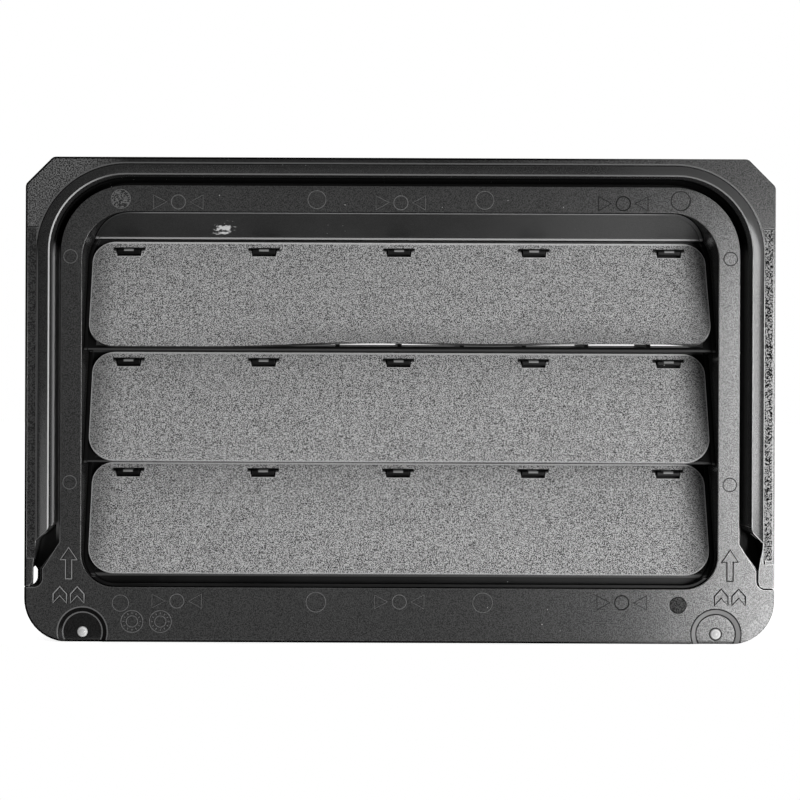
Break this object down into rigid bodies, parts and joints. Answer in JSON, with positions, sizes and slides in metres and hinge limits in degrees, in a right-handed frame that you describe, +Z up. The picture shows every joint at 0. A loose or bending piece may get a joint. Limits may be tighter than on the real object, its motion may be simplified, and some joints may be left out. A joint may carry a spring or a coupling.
{
  "type": "vent grille",
  "caption": "Snap-in pressure relief vent: moulded frame with a rain gutter, louvre grid and hanging rubber flaps that swing outwards.",
  "frame": {"origin": "centre of the panel cut-out, on the plane where the foam ring meets the panel", "axes": "+X to the right as seen from outside, +Z up, -Y out of the panel towards the viewer"},
  "size_m": [0.2664, 0.0396, 0.1722],
  "materials": {
    "frame_plastic": "black polypropylene, satin with fine spark grain",
    "grid_plastic": "black polypropylene, satin",
    "flap_rubber": "thin grey calendered rubber, dusty and faintly streaked",
    "gasket_foam": "black closed-cell foam",
    "strip_foam": "rough black foam strip"
  },
  "bodies": {
    "vent_frame": {"outer_frame": "frame_plastic", "flap_carrier": "grid_plastic", "sealing_gasket": "gasket_foam", "left_edge_strip": "strip_foam", "right_edge_strip": "strip_foam"},
    "upper_flap": {"upper_flap": "flap_rubber"},
    "middle_flap": {"middle_flap": "flap_rubber"},
    "lower_flap": {"lower_flap": "flap_rubber"}
  },
  "joints": [
    {"name": "upper_flap_hinge", "type": "hinge", "parent": "vent_frame", "child": "upper_flap", "pos_m": [0, 0.001, 0.0554], "axis": [-1, 0, 0], "range_deg": [0, 70]},
    {"name": "middle_flap_hinge", "type": "hinge", "parent": "vent_frame", "child": "middle_flap", "pos_m": [0, 0.001, 0.0152], "axis": [-1, 0, 0], "range_deg": [0, 70]},
    {"name": "lower_flap_hinge", "type": "hinge", "parent": "vent_frame", "child": "lower_flap", "pos_m": [0, 0.001, -0.025], "axis": [-1, 0, 0], "range_deg": [0, 70]}
  ]
}
